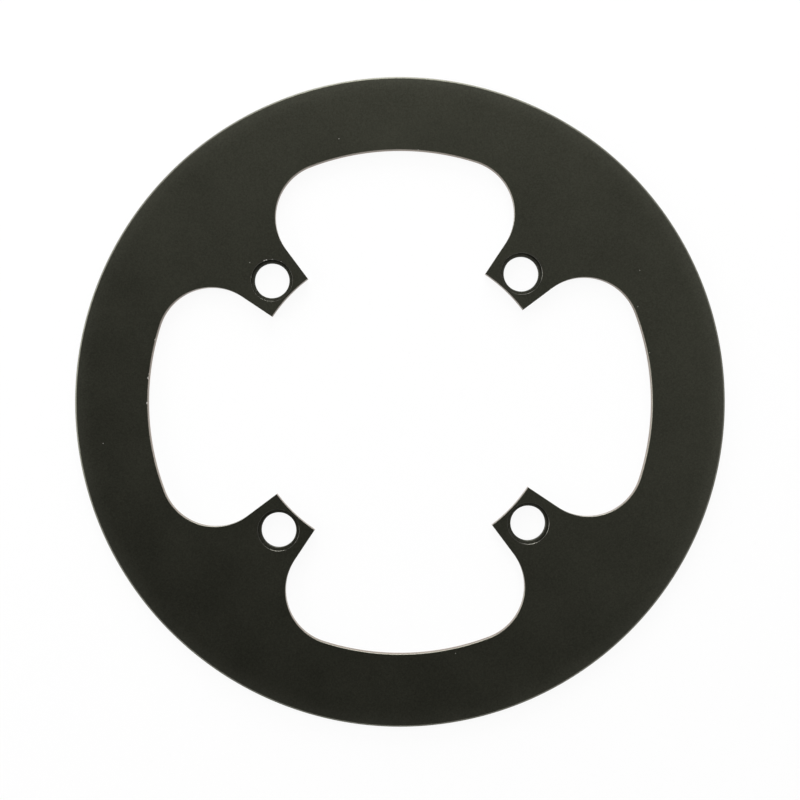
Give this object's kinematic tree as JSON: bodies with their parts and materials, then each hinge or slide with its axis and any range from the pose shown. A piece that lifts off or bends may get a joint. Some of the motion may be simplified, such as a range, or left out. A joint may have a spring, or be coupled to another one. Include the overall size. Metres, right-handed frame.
{
  "type": "bicycle chain guard",
  "caption": "Flat round bicycle chain guard in satin black aluminium sheet, with a lobed central opening and bolt tabs with head recesses, bolted outside a chainring.",
  "frame": {"origin": "centre of the bolt circle, on the flat back face that lies against the spider or the chainring", "axes": "+Z along the crank axle, out of the front face where the bolt heads sit; +X and +Y each through the middle of a lobe of the opening, with the bolt holes midway between them"},
  "size_m": [0.1914, 0.1914, 0.003],
  "materials": {
    "black_anodised": "satin black anodised"
  },
  "bodies": {
    "root": {"guard_plate": "black_anodised"}
  },
  "joints": []
}
